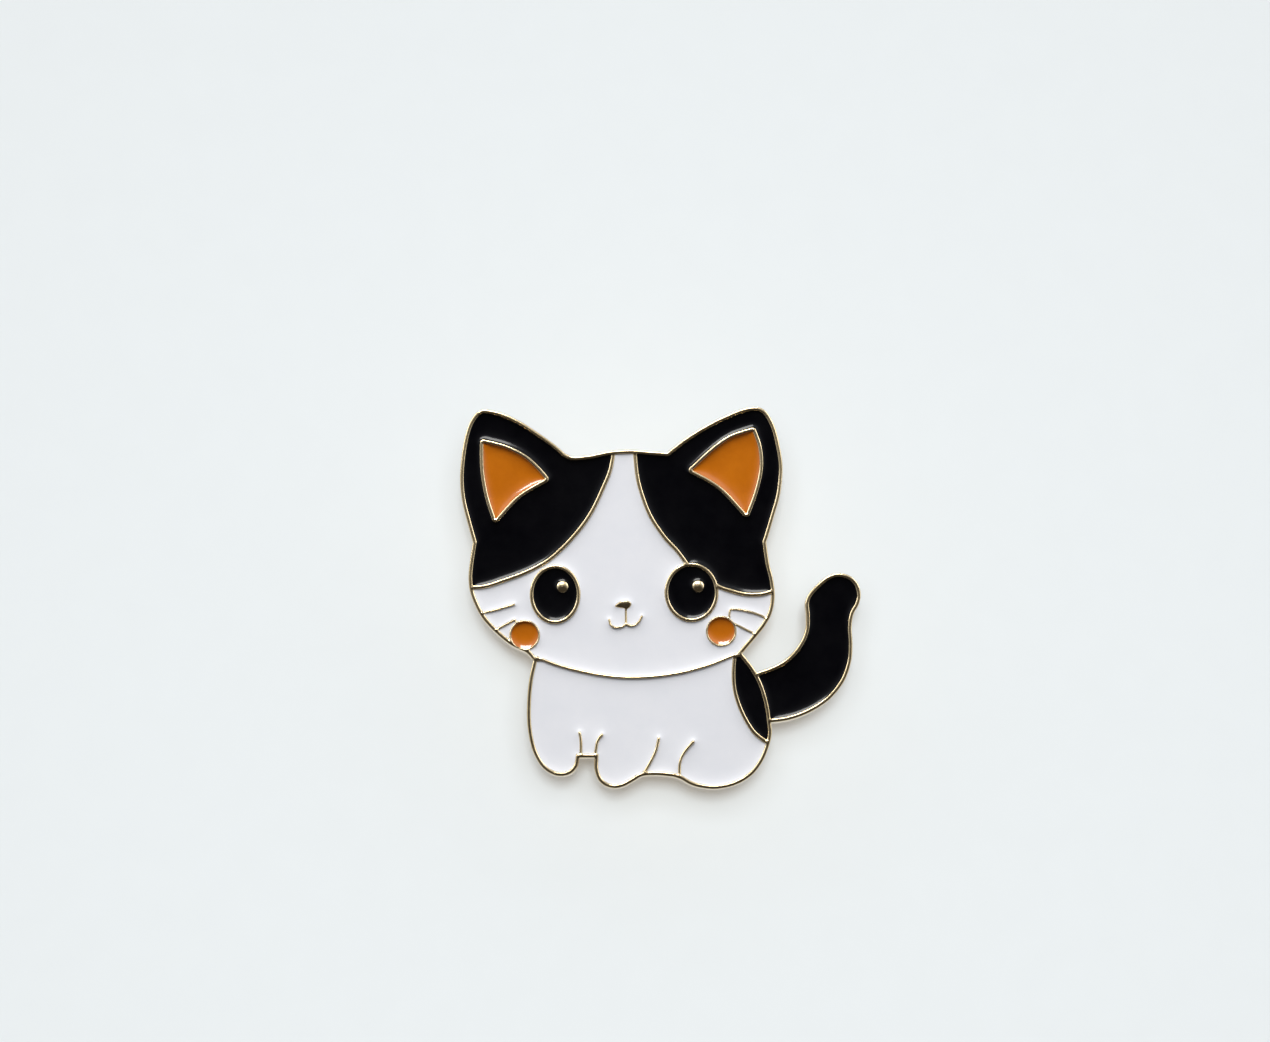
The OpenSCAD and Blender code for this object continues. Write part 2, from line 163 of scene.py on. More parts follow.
ROOT_TURNS = np.radians(np.arange(-66, 67, 11))     # round the root, where a wing has points
NOTCH_TURNS = np.radians(np.arange(172, 7, -8))     # round the post, where its notch has them
COLUMNS = np.arange(-2.1, 2.2, 0.3)     # a sheet's points across it


# ---- Flat outlines ----

def face_loops(node, depth):
    """The closed loops round a CAD node's flat face at one depth (mm), as (x, z) arrays with the
    material on their left."""
    mesh = NODES[node].data
    directed = set()
    for triangle in mesh.polygons:
        corners = list(triangle.vertices)
        if all(abs(mesh.vertices[i].co.y / MM - depth) < SAME_DEPTH for i in corners):
            directed.update(zip(corners, corners[1:] + corners[:1]))
    follows = {a: b for a, b in sorted(directed) if (b, a) not in directed}
    loops = []
    while follows:
        start, at = next(iter(follows.items()))
        loop = [start]
        del follows[start]
        while at != start:
            loop.append(at)
            at = follows.pop(at)
        places = [mesh.vertices[i].co for i in loop]
        loops.append(np.array([(p.x / MM, p.z / MM) for p in places]))
    return loops


def along_curve(a, b, leaving, arriving, pieces):
    """Points from a up to b on a curve that leaves and arrives in the given directions."""
    t = (np.arange(pieces) / pieces)[:, None]
    length = np.linalg.norm(b - a)
    return ((2 * t ** 3 - 3 * t ** 2 + 1) * a + (3 * t ** 2 - 2 * t ** 3) * b
            + (t ** 3 - 2 * t ** 2 + t) * length * leaving + (t ** 3 - t ** 2) * length * arriving)


def evened(loop):
    """A loop with its shortest edges closed up, its long ones divided and its bends smoothed,
    within the box that it filled. Its sharp corners stay."""
    kept = [loop[0]]
    for point in loop[1:]:
        if np.linalg.norm(point - kept[-1]) > SHORTEST_EDGE:
            kept.append(point)
    if len(kept) > 3 and np.linalg.norm(kept[-1] - kept[0]) < SHORTEST_EDGE:
        kept.pop()
    kept = np.array(kept)
    ahead = np.roll(kept, -1, 0) - kept
    length = np.linalg.norm(ahead, axis=1)[:, None]
    ahead /= length
    behind, length_behind = np.roll(ahead, 1, 0), np.roll(length, 1, 0)
    heading = ahead / length + behind / length_behind
    heading = np.where(length > LOPSIDED * length_behind, ahead, heading)
    heading = np.where(length_behind > LOPSIDED * length, behind, heading)
    heading /= np.linalg.norm(heading, axis=1)[:, None]
    soft = (ahead * behind).sum(1) > math.cos(math.radians(SOFT_BEND))
    out = []
    for i in range(len(kept)):
        j = (i + 1) % len(kept)
        pieces = max(1, math.ceil(float(length[i, 0]) / EDGE_STEP))
        out.append(along_curve(kept[i], kept[j], heading[i] if soft[i] else ahead[i],
                               heading[j] if soft[j] else ahead[i], pieces))
    return np.clip(np.vstack(out), kept.min(0), kept.max(0))


def area(loop):
    """A loop's area, which is negative for a hole."""
    x, z = loop[:, 0], loop[:, 1]
    return float(np.sum(x * np.roll(z, -1) - np.roll(x, -1) * z)) / 2


def perimeter(loop):
    return float(np.linalg.norm(np.roll(loop, -1, 0) - loop, axis=1).sum())


def inward(loop):
    """Unit vectors from a loop's points into the material."""
    along = np.roll(loop, -1, 0) - np.roll(loop, 1, 0)
    along /= np.linalg.norm(along, axis=1)[:, None]
    return np.column_stack([-along[:, 1], along[:, 0]])


def parts_of(loops, numbers):
    """Splits the numbers of all the loops' points by loop."""
    out, first = [], 0
    for loop in loops:
        out.append(numbers[first:first + len(loop)])
        first += len(loop)
    return out


def nearest(points, loops):
    """For each point, the closest point on the loops, how far it is and which loop it is on."""
    start = np.vstack(loops)
    along = np.vstack([np.roll(loop, -1, 0) - loop for loop in loops])
    before = np.concatenate([np.roll(spread, 1) for spread in parts_of(loops, range(len(start)))])
    owner = np.concatenate([np.full(len(loop), i) for i, loop in enumerate(loops)])
    tree = KDTree(len(start))
    for i, (x, z) in enumerate(start):
        tree.insert((x, z, 0), i)
    tree.balance()
    corner = np.array([[found[1] for found in tree.find_n((x, z, 0), NEAR_CORNERS)]
                       for x, z in points])
    piece = np.hstack([corner, before[corner]])
    rel = points[:, None] - start[piece]
    share = np.clip((rel * along[piece]).sum(2) / (along[piece] ** 2).sum(2), 0, 1)
    foot = start[piece] + share[..., None] * along[piece]
    gap = np.linalg.norm(points[:, None] - foot, axis=2)
    rows, best = np.arange(len(points)), gap.argmin(1)
    return foot[rows, best], gap[rows, best], owner[piece[rows, best]]


def inside(points, loops):
    """Whether each point lies in the material, by how many outlines lie to its right."""
    a = np.vstack(loops)
    b = np.vstack([np.roll(loop, -1, 0) for loop in loops])
    rise = b[:, 1] - a[:, 1]
    slope = (b[:, 0] - a[:, 0]) / np.where(rise == 0, 1, rise)
    out = []
    for chunk in np.array_split(points, max(1, len(points) // CHUNK)):
        z = chunk[:, 1, None]
        spans = (a[:, 1] > z) != (b[:, 1] > z)
        right = chunk[:, 0, None] < a[:, 0] + (z - a[:, 1]) * slope
        out.append((spans & right).sum(1) % 2 == 1)
    return np.concatenate(out)


def thinned(points, gap):
    """Leaves out each point that lies closer than gap to one already kept."""
    kept, cells = [], {}
    for p in points:
        cell = (int(p[0] // gap), int(p[1] // gap))
        near = [q for i in (-1, 0, 1) for j in (-1, 0, 1)
                for q in cells.get((cell[0] + i, cell[1] + j), ())]
        if all((p[0] - q[0]) ** 2 + (p[1] - q[1]) ** 2 >= gap * gap for q in near):
            kept.append(p)
            cells.setdefault(cell, []).append(p)
    return kept


def inner_points(loops, rings, grid=None):
    """Points inside the material: rings that follow the outlines, less what comes too near to
    another stretch of them, and an even grid further in."""
    out = []
    for ring in rings:
        moved = np.vstack([loop + inward(loop) * ring for loop in loops])
        _, gap, _ = nearest(moved, loops)
        moved = moved[(gap > RING_KEEPS * ring) & inside(moved, loops)]
        out += thinned(moved, max(RING_GAP, ring / 2))
    if grid:
        low, high = np.vstack(loops).min(0), np.vstack(loops).max(0)
        rows = np.arange(low[1], high[1], grid * ROW_SHARE)
        lattice = np.array([(x + (i % 2) * grid / 2, z) for i, z in enumerate(rows)
                            for x in np.arange(low[0], high[0], grid)])
        _, gap, _ = nearest(lattice, loops)
        out += list(lattice[(gap > rings[-1] + grid / 2) & inside(lattice, loops)])
    return out


def triangles(loops, extra=()):
    """Triangles between the loops' points and the extra ones. Gives the points, with the loops'
    first and in their order, the triangles, and whether each lies in the material. A triangle
    on an outline is told by which way round it follows it, as its middle may lie too close."""
    points = [tuple(p) for loop in loops for p in loop] + [tuple(p) for p in extra]
    edges, first = [], 0
    for loop in loops:
        count = len(loop)
        edges += [(first + i, first + (i + 1) % count) for i in range(count)]
        first += count
    made = delaunay_2d_cdt([Vector(p) for p in points], edges, [], 0, SAME_PLACE)
    index = {}
    for new, (place, old) in enumerate(zip(made[0], made[3])):
        if old:
            index[new] = old[0]
        else:
            index[new] = len(points)
            points.append(tuple(place))
    coords = np.array(points)
    faces = [tuple(index[i] for i in face) for face in made[2]]
    filled = inside(np.array([coords[list(f)].mean(0) for f in faces]), loops)
    onwards = set(edges)
    for i, face in enumerate(faces):
        sides = list(zip(face, face[1:] + face[:1]))
        if any(side in onwards for side in sides):
            filled[i] = True
        elif any(side[::-1] in onwards for side in sides):
            filled[i] = False
    return coords, faces, filled


# ---- Solids ----

class Solid:
    """Vertices in millimetres and faces, gathered ring by ring."""

    def __init__(self):
        self.verts = []
        self.faces = []

    def ring(self, flat, depth):
        """Adds (x, z) points at a depth, one for all or one for each. Gives their numbers."""
        first = len(self.verts)
        depths = np.broadcast_to(depth, len(flat))
        self.verts += [(x, y, z) for (x, z), y in zip(flat, depths)]
        return list(range(first, len(self.verts)))

    def wall(self, front, back):
        """Quads from one closed ring to another behind it."""
        for i in range(len(front)):
            j = (i + 1) % len(front)
            self.faces.append((front[j], front[i], back[i], back[j]))

    def sheet(self, faces, numbers, looks_back=False):
        """Adds flat faces, whose corners are places in the list of numbers."""
        for face in faces:
            named = tuple(numbers[i] for i in face)
            self.faces.append(named[::-1] if looks_back else named)

    def object(self, name, material, body):
        """Makes the Blender object, which rides the body."""
        mesh = bpy.data.meshes.new(name)
        mesh.from_pydata([[c * MM for c in v] for v in self.verts], [], self.faces)
        mesh.shade_smooth()
        mesh.set_sharp_from_angle(angle=math.radians(SHARP_DEG))
        mesh.materials.append(material)
        made = bpy.data.objects.new(name, mesh)
        bpy.context.scene.collection.objects.link(made)
        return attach(made, body)


def standing_for(piece, node):
    """Hides the CAD node that a piece stands in for, and gives the piece back."""
    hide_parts(node)
    return piece


def middle_of(node):
    """The middle of a CAD node's box, as (x, z)."""
    low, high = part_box(node)
    return (low.x + high.x) / 2 / MM, (low.z + high.z) / 2 / MM


def circle(centre, radius, count, clockwise=False):
    """Points round a circle. A hole's go clockwise."""
    turns = np.arange(count) * (-1 if clockwise else 1) * 2 * math.pi / count
    return np.column_stack([centre[0] + radius * np.cos(turns),
                            centre[1] + radius * np.sin(turns)])


# ---- Enamel ----

def settled(coords, faces, fixed):
    """The height that a liquid climbing its walls takes at each point, from 1 at the fixed
    points to nearly 0 far from them. It is worked out by evening each point with its
    neighbours, weighted by the angles that face the edges between them."""
    corners = np.array(faces)
    ends, weights = [], []
    share = np.zeros(len(coords))
    for k in range(3):
        tip, a, b = corners[:, k], corners[:, (k + 1) % 3], corners[:, (k + 2) % 3]
        to_a, to_b = coords[a] - coords[tip], coords[b] - coords[tip]
        across = np.abs(to_a[:, 0] * to_b[:, 1] - to_a[:, 1] * to_b[:, 0])
        weight = np.clip((to_a * to_b).sum(1) / np.maximum(across, TINY), 0, TIGHTEST) / 2
        ends += [(a, b), (b, a)]
        weights += [weight, weight]
        np.add.at(share, tip, across / 6)
    here = np.concatenate([pair[0] for pair in ends])
    there = np.concatenate([pair[1] for pair in ends])
    weight = np.concatenate(weights)
    total = np.bincount(here, weight, len(coords)) + share / ENAMEL_REACH ** 2
    total = np.maximum(total, TINY)
    height = fixed.astype(float)
    for _ in range(SETTLING):
        height = np.bincount(here, weight * height[there], len(coords)) / total
        height[fixed] = 1
    return height


def enamel_pool(node, material):
    """A pool of enamel: climbs the metal round it and sags in the middle."""
    low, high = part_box(node)
    front, back = low.y / MM, high.y / MM
    loops = [evened(loop) for loop in face_loops(node, front)]
    coords, faces, filled = triangles(loops, inner_points(loops, ENAMEL_RINGS, ENAMEL_GRID))
    kept = list(compress(faces, filled))
    on_edge = np.arange(len(coords)) < sum(len(loop) for loop in loops)
    sag = ENAMEL_SAG[SLOT_OF[node]]
    sunk = ENAMEL_EDGE + sag * (1 - settled(coords, kept, on_edge))
    solid = Solid()
    top = solid.ring(coords, front + sunk)
    solid.sheet(kept, top)
    rear = solid.ring(np.vstack(loops), back)
    for before, behind in zip(parts_of(loops, top), parts_of(loops, rear)):
        solid.wall(before, behind)
    _, faces, filled = triangles(loops)
    solid.sheet(compress(faces, filled), rear, looks_back=True)
    return standing_for(solid.object(node + "_pool", material, "pin"), node)


# ---- The plate ----

def is_catchlight(loop):
    """Whether a loop goes round a small round island of metal in an eye."""
    round_area = perimeter(loop) ** 2 / (4 * math.pi)
    return (DOME_AREA[0] < area(loop) < DOME_AREA[1]
            and area(loop) > DOME_ROUNDNESS * round_area)


def top_points(loops, domes):
    """Points on the raised metal: rings beside its outlines and circles on its domes."""
    points = inner_points(loops, METAL_RINGS)
    for i in domes:
        radius = perimeter(loops[i]) / (2 * math.pi)
        for share in DOME_RINGS:
            count = round(DOME_POINTS * share) + 3
            points += list(circle(loops[i].mean(0), radius * share, count))
    return points


def relief(coords, loops, domes, front):
    """The depths and the normals of points on the raised metal: shoulders rounded towards the
    outlines, domed catchlights, and a nose that slopes back to face a little downwards."""
    foot, gap, whose = nearest(coords, loops)
    short = np.clip(METAL_ROUNDING - gap, 0, METAL_ROUNDING)
    depth = front + METAL_ROUNDING - np.sqrt(METAL_ROUNDING ** 2 - short ** 2)
    tilt = short / METAL_ROUNDING
    for i in domes:
        radius = perimeter(loops[i]) / (2 * math.pi)
        out = np.linalg.norm(coords - loops[i].mean(0), axis=1) / radius
        domed = out < 1.01      # the edge's points are at 1
        depth[domed] = front + DOME_RISE * out[domed] ** 2
        slope = 2 * DOME_RISE * out[domed] / radius
        tilt[domed] = slope / np.hypot(slope, 1)
    away = foot - coords
    on_edge = np.arange(len(coords)) < sum(len(loop) for loop in loops)
    away[on_edge] = -np.vstack([inward(loop) for loop in loops])
    away /= np.maximum(np.linalg.norm(away, axis=1), TINY)[:, None]
    normals = np.column_stack([away[:, 0] * tilt, -np.sqrt(1 - tilt ** 2), away[:, 1] * tilt])
    for i, loop in enumerate(loops):
        if i not in domes and NOSE_AREA[0] < area(loop) < NOSE_AREA[1]:
            below = (loop[:, 1].max() - coords[:, 1]) / NOSE_HEIGHT
            lean = np.interp(below, (0, 1, MOUTH_LEVEL), (0, NOSE_LEAN, 0))
            depth[whose == i] += NOSE_HEIGHT * lean[whose == i]
            normals[(whose == i) & (below < 1), 2] -= NOSE_LEAN
    return depth, normals


def add_cells(solid, loops, fronts, floor):
    """Adds the cells' walls and floors. The first loop is the plate's own outline, which has
    none."""
    bases = solid.ring(np.vstack(loops[1:]), floor)
    for before, behind in zip(fronts[1:], parts_of(loops[1:], bases)):
        solid.wall(before, behind)
    coords, faces, filled = triangles(loops)
    middles = np.array([coords[list(face)].mean(0) for face in faces])
    in_cell = inside(middles, loops[:1]) & ~filled
    none_on_outline = [None] * len(loops[0])
    solid.sheet(compress(faces, in_cell), none_on_outline + bases)


def add_side(solid, outline, front_ring, back, facing):
    """Adds the plate's side and the rounded edge of its back. Gives the last ring's points and
    their numbers, and adds the rings' normals to the facing ones."""
    into = inward(outline)
    rings = [front_ring]
    for inset, before_back, leaning in BACK_RINGS:
        moved = outline + into * inset * BACK_ROUNDING
        rings.append(solid.ring(moved, back - before_back * BACK_ROUNDING))
        aside, backwards = math.cos(math.radians(leaning)), math.sin(math.radians(leaning))
        facing.update(zip(rings[-1], [(-x * aside, backwards, -z * aside) for x, z in into]))
    for before, behind in zip(rings, rings[1:]):
        solid.wall(before, behind)
    return moved, rings[-1]


def pad_seats():
    """For each post, the outline of its pad's seat and the depth of the seat's bottom."""
    seats = []
    for node in ("left_post", "right_post"):
        low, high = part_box(node)
        radius = (high.x - low.x) / 2 / MM + PAD_GROOVE
        seats.append((circle(middle_of(node), radius, ROUND_POINTS, clockwise=True),
                      low.y / MM - PAD_GROOVE))
    return seats


def set_normals(made, facing, chosen):
    """Gives the chosen faces the normals of their vertices, and leaves the others as they are."""
    corners = [(0, 0, 0)] * len(made.data.loops)
    for face in made.data.polygons:
        if face.index in chosen:
            for corner, vertex in zip(face.loop_indices, face.vertices):
                corners[corner] = facing[vertex]
    made.data.normals_split_custom_set(corners)


def struck_plate(material):
    """The plate: raised lines with rounded shoulders, domed catchlights, open cells and a back
    with a sunk seat for each post's pad."""
    low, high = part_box("base_plate")
    front, back = low.y / MM, high.y / MM
    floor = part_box("face_enamel")[1].y / MM
    loops = [evened(loop) for loop in face_loops("base_plate", front)]
    loops.sort(key=area, reverse=True)
    domes = [i for i, loop in enumerate(loops) if is_catchlight(loop)]
    solid = Solid()

    coords, faces, filled = triangles(loops, top_points(loops, domes))
    depth, normals = relief(coords, loops, domes, front)
    top = solid.ring(coords, depth)
    solid.sheet(compress(faces, filled), top)
    facing = dict(zip(top, map(tuple, normals)))
    chosen = set(range(len(solid.faces)))
    fronts = parts_of(loops, top)
    add_cells(solid, loops, fronts, floor)

    side_from = len(solid.faces)
    edge, edge_numbers = add_side(solid, loops[0], fronts[0], back, facing)
    seats = pad_seats()
    mouths = [mouth for mouth, _ in seats]
    mouth_numbers = solid.ring(np.vstack(mouths), back)
    facing.update((number, (0, 1, 0)) for number in mouth_numbers)
    _, faces, filled = triangles([edge] + mouths)
    solid.sheet(compress(faces, filled), edge_numbers + mouth_numbers, looks_back=True)
    chosen.update(range(side_from, len(solid.faces)))

    for (mouth, bottom), numbers in zip(seats, parts_of(mouths, mouth_numbers)):
        seat = solid.ring(mouth, bottom)
        solid.wall(seat, numbers)
        solid.faces.append(tuple(seat))
    plate = solid.object("struck_plate", material, "pin")
    set_normals(plate, facing, chosen)
    return standing_for(plate, "base_plate")


# ---- Posts and clutches ----

def rounded(corners):
    """An outline with its corners rounded. Each corner is (across, along, radius)."""
    out = []
    for i, (x, y, radius) in enumerate(corners):
        here = np.array([x, y])
        if not radius:
            out.append(here)
            continue
        legs = [np.array(corners[j][:2]) - here for j in (i - 1, (i + 1) % len(corners))]
        sizes = [np.linalg.norm(leg) for leg in legs]
        before, after = legs[0] / sizes[0], legs[1] / sizes[1]
        half = math.acos(np.clip(before @ after, -1, 1)) / 2
        reach = min(radius / math.tan(half), CORNER_TAKES * min(sizes))
        start, end = here + before * reach, here + after * reach
        for t in np.linspace(0, 1, CORNER_STEPS + 1):
            out.append((1 - t) ** 2 * start + 2 * t * (1 - t) * here + t * t * end)
    return np.array(out)


def lathe(name, centre, profile, material, body, closed=True, count=96):
    """Turns a profile of (radius, y) points round an axis along Y."""
    solid = Solid()
    rings = [solid.ring(circle(centre, radius, count), y) for radius, y in profile]
    follows = rings[1:] + rings[:1] if closed else rings[1:]
    for before, behind in zip(rings, follows):
        solid.wall(before, behind)
    if not closed:
        solid.faces.append(tuple(rings[0]))
        solid.faces.append(tuple(rings[-1][::-1]))
    return solid.object(name, material, body)


def post(node, material):
    """A nail: a pad sunk in the plate, a fillet of solder, a shank with a neck, and a point."""
    low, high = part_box(node)
    front, tip, pad = low.y / MM, high.y / MM, (high.x - low.x) / 2 / MM
    neck = tip - NECK_FROM
    land = tip - NECK_TO
    corners = [(pad - PAD_CHAMFER, front, 0), (pad, front + PAD_CHAMFER, 0), (pad, 0, 0.04),
               (POST_R, 0, 0.12), (POST_R, neck, 0.08), (NECK_R, neck + NECK_SLOPE, 0.1),
               (NECK_R, land - NECK_SLOPE, 0.1), (POST_R, land, 0.05),
               (POST_R, tip - POINT_FROM, 0.25), (POINT_R, tip, 0.08), (POINT_CLOSES, tip, 0)]
    nail = lathe(node + "_nail", middle_of(node), rounded(corners), material, "pin",
                 closed=False, count=ROUND_POINTS)
    return standing_for(nail, node)


def eyelet(side, front, material):
    """The tube that runs on the post, flanged at both ends to hold the cup and the bridge."""
    node = side + "_clutch_eyelet"
    head = BOSS - RUNNING
    tail = BOSS + 2 * SHEET + RUNNING
    head_r, tail_r = EYELET_R + HEAD_LIP, EYELET_R + TAIL_LIP
    corners = [(EYELET_BORE, head - FLANGE_T, 0.08), (head_r, head - FLANGE_T, 0.08),
               (head_r, head, 0.08), (EYELET_R, head, 0.02), (EYELET_R, tail, 0.02),
               (tail_r, tail, 0.06), (tail_r, tail + FLANGE_T, 0.12),
               (EYELET_BORE, tail + FLANGE_T, 0.16)]
    profile = rounded(corners) + (0, front)
    tube = lathe(node + "_tube", middle_of(node), profile, material,
                 side + "_clutch_slider")
    return standing_for(tube, node)


def cup(side, front, material):
    """A dish of one sheet: raised middle, a soft step, the outer floor and the rolled rim."""
    node = side + "_clutch_cup"
    low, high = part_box(node)
    roll = (high.x - low.x) / 2 / MM - ROLL_R
    meets = [180 - math.degrees(math.asin((DISH - ROLL_R) / ROLL_R)),
             540 - math.degrees(math.asin((DISH + SHEET - ROLL_R) / ROLL_R))]
    turns = np.radians(np.linspace(*meets, ROLL_POINTS))
    corners = [(EYELET_R + RUNNING, BOSS, 0.04), (BOSS_R - 0.2, BOSS, 0.3),
               (BOSS_R + 0.05, DISH, 0.3)]
    corners += [(roll + ROLL_R * math.cos(a), ROLL_R + ROLL_R * math.sin(a), 0) for a in turns]
    corners += [(BOSS_R + 0.25, DISH + SHEET, 0.3), (BOSS_R, BOSS + SHEET, 0.3),
                (EYELET_R + RUNNING, BOSS + SHEET, 0.04)]
    profile = rounded(corners) + (0, front)
    dish = lathe(node + "_dish", middle_of(node), profile, material, side + "_clutch",
                 count=144)
    return standing_for(dish, node)


def smooth_path(points):
    """A curve through all the points, a little longer than them at both ends."""
    rows = np.array(points)
    rows = np.vstack([2 * rows[0] - rows[1], rows, 2 * rows[-1] - rows[-2]])
    out = []
    for a, b, c, d in zip(rows, rows[1:], rows[2:], rows[3:]):
        for u in np.arange(CURVE_STEPS) / CURVE_STEPS:
            out.append(b + (c - a) * u / 2 + (2 * a - 5 * b + 4 * c - d) * u * u / 2
                       + (3 * b - a - 3 * c + d) * u ** 3 / 2)
    out.append(rows[-2])
    ends = [out[0] - out[1], out[-1] - out[-2]]
    first, last = (end / np.linalg.norm(end) * WING_TIP for end in ends)
    return np.vstack([out[0] + first, out, out[-1] + last])


def run_of(path):
    """How far along a path each of its points lies."""
    return np.concatenate([[0], np.cumsum(np.linalg.norm(np.diff(path, axis=0), axis=1))])


def folded_sheet(name, centre, way, loops, path, half, rows, material, body, root=None):
    """A stamped sheet. Its flat outline, as (across, along) pairs, is bent along a path of
    (outward, behind) points; half is its half thickness at each, rows are where it has inner
    points, and way is 1 for a sheet whose outward is up and -1 for down. It swells round the
    root, (outward, behind, radius)."""
    along = run_of(path)
    lattice = np.array([(x, s) for s in rows for x in COLUMNS])
    _, gap, _ = nearest(lattice, loops)
    lattice = lattice[(gap > 1.5 * SHEET_RINGS[-1]) & inside(lattice, loops)]
    extra = inner_points(loops, SHEET_RINGS) + list(lattice)
    coords, faces, filled = triangles(loops, extra)
    kept = list(compress(faces, filled))
    _, gap, _ = nearest(coords, loops)
    short = np.clip(SHEET_EDGE - gap, 0, SHEET_EDGE)
    lost = SHEET_EDGE - np.sqrt(SHEET_EDGE ** 2 - short ** 2)
    slope = np.gradient(path, along, axis=0)
    spot, heading = [np.column_stack([np.interp(coords[:, 1], along, column[:, k])
                                      for k in (0, 1)]) for column in (path, slope)]
    heading /= np.linalg.norm(heading, axis=1)[:, None]
    aside = np.column_stack([heading[:, 1], -heading[:, 0]])
    aside *= (np.interp(coords[:, 1], along, half) - lost)[:, None]
    solid = Solid()
    skins = []
    for skin in (spot + aside, spot - aside):
        if root:
            away = skin - root[:2]
            far = np.linalg.norm(away, axis=1)
            reach = np.maximum(far, root[2] - lost)
            skin = np.array(root[:2]) + away * (reach / far)[:, None]
        flat = np.column_stack([centre[0] + way * coords[:, 0], centre[1] + way * skin[:, 0]])
        numbers = solid.ring(flat, centre[2] + skin[:, 1])
        solid.sheet(kept, numbers, looks_back=bool(skins))
        skins.append(parts_of(loops, numbers))
    for outer, inner in zip(*skins):
        solid.wall(outer, inner)
    return solid.object(name, material, body)


def bridge(side, front, material):
    """A folded strip on the cup's back, held by the eyelet, whose ends hook round the wings."""
    node = side + "_clutch_bridge"
    reach = HOOK_INNER + SPRING / 2
    foot = BOSS + 1.5 * SHEET
    turns = np.radians(np.arange(HOOK_OPENS, 0, -HOOK_STEP))
    arm = [(HOOK[0] + reach * math.cos(a), HOOK[1] + reach * math.sin(a), 0) for a in turns]
    arm += [(HOOK[0] + reach, w, 0) for w in ARM_ROWS]
    arm += [(HOOK[0] + reach, foot, ARM_BEND), (0, foot, 0)]
    arm = rounded(arm)[:-1]
    base = [(v, foot) for v in BASE_ROWS]
    path = np.vstack([arm, base, (arm * (-1, 1))[::-1]])
    half = np.interp(path[:, 1], (foot, foot + THINNED_BY), (SHEET / 2 - BASE_GAP, SPRING / 2))
    rows = run_of(path)
    ends = [(-BRIDGE_HALF, 0, END_ROUNDING), (BRIDGE_HALF, 0, END_ROUNDING),
            (BRIDGE_HALF, rows[-1], END_ROUNDING), (-BRIDGE_HALF, rows[-1], END_ROUNDING)]
    hole = circle((0, rows[-1] / 2), EYELET_R + RUNNING, ROUND_POINTS, clockwise=True)
    loops = [evened(rounded(ends)), evened(hole)]
    centre = (*middle_of(node), front)
    strip = folded_sheet(node + "_strip", centre, 1, loops, path, half, rows, material,
                         side + "_clutch")
    return standing_for(strip, node)


def wing(side, upper, front, material):
    """A spring wing: jaw lip with its notch, root, shoulder and rounded finger tab."""
    which = "upper" if upper else "lower"
    node = f"{side}_clutch_{which}_wing"
    path = smooth_path(WING_LINE)
    along = run_of(path)
    at_root = along[np.linalg.norm(path - HOOK, axis=1).argmin()]
    root_rows = at_root + SPRING / 2 * np.tan(ROOT_TURNS)
    rows = np.concatenate([along[np.abs(along - at_root) > ROOT_R], root_rows])
    rising = path[:, 0] < JAW_TO
    rising[len(path) // 2:] = False
    outer = np.arange(len(path)) > len(path) // 2
    flare_from, flare_to = np.interp(FLARE, path[outer, 0], along[outer])
    notch = [(JAW_R * math.cos(a), np.interp(JAW_R * math.sin(a), path[rising, 0], along[rising]))
             for a in NOTCH_TURNS]
    corners = [(-ROOT_HALF, 0, END_ROUNDING)]
    corners += [(x, s, 0) for x, s in notch]
    corners += [(ROOT_HALF, 0, END_ROUNDING)] + [(ROOT_HALF, s, 0) for s in root_rows]
    corners += [(ROOT_HALF, flare_from, FLARE_ROUNDING), (TAB_HALF, flare_to, FLARE_ROUNDING),
                (TAB_HALF, along[-1], TAB_ROUNDING), (-TAB_HALF, along[-1], TAB_ROUNDING),
                (-TAB_HALF, flare_to, FLARE_ROUNDING), (-ROOT_HALF, flare_from, FLARE_ROUNDING)]
    corners += [(-ROOT_HALF, s, 0) for s in root_rows[::-1]]
    centre = (*middle_of(side + "_post"), front)
    half = np.full(len(path), SPRING / 2)
    leaf = folded_sheet(node + "_leaf", centre, 1 if upper else -1, [evened(rounded(corners))],
                        path, half, rows, material, f"{side}_clutch_{which}",
                        root=(*HOOK, ROOT_R))
    return standing_for(leaf, node)


def clutch(side, cup_metal, spring_metal):
    """A butterfly clutch: all its pieces are placed from the cup's front rim."""
    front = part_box(side + "_clutch_cup")[0].y / MM
    eyelet(side, front, cup_metal)
    cup(side, front, cup_metal)
    bridge(side, front, spring_metal)
    wing(side, True, front, spring_metal)
    wing(side, False, front, spring_metal)


# ---- Materials ----

METAL_ROUGHNESS = (0.16, 0.24)
METAL_GRAIN = 0.0012    # mm
BLAST_FROM, BLAST_TO = -0.05, -0.01     # mm; the sandblasting sets in just before the back
BLAST_ROUGHNESS = 0.14  # what the sandblasting adds
BLAST_DEPTH = 0.02      # mm
ENAMEL_ROUGHNESS = (0.1, 0.15)


def new_material(name, roughness, metallic=0.0):
    """A material, with its nodes and its shader."""
    made = bpy.data.materials.new(name)
    made.use_nodes = True
    shader = made.node_tree.nodes["Principled BSDF"]
    shader.inputs["Roughness"].default_value = roughness
    shader.inputs["Metallic"].default_value = metallic
    return made, made.node_tree, shader


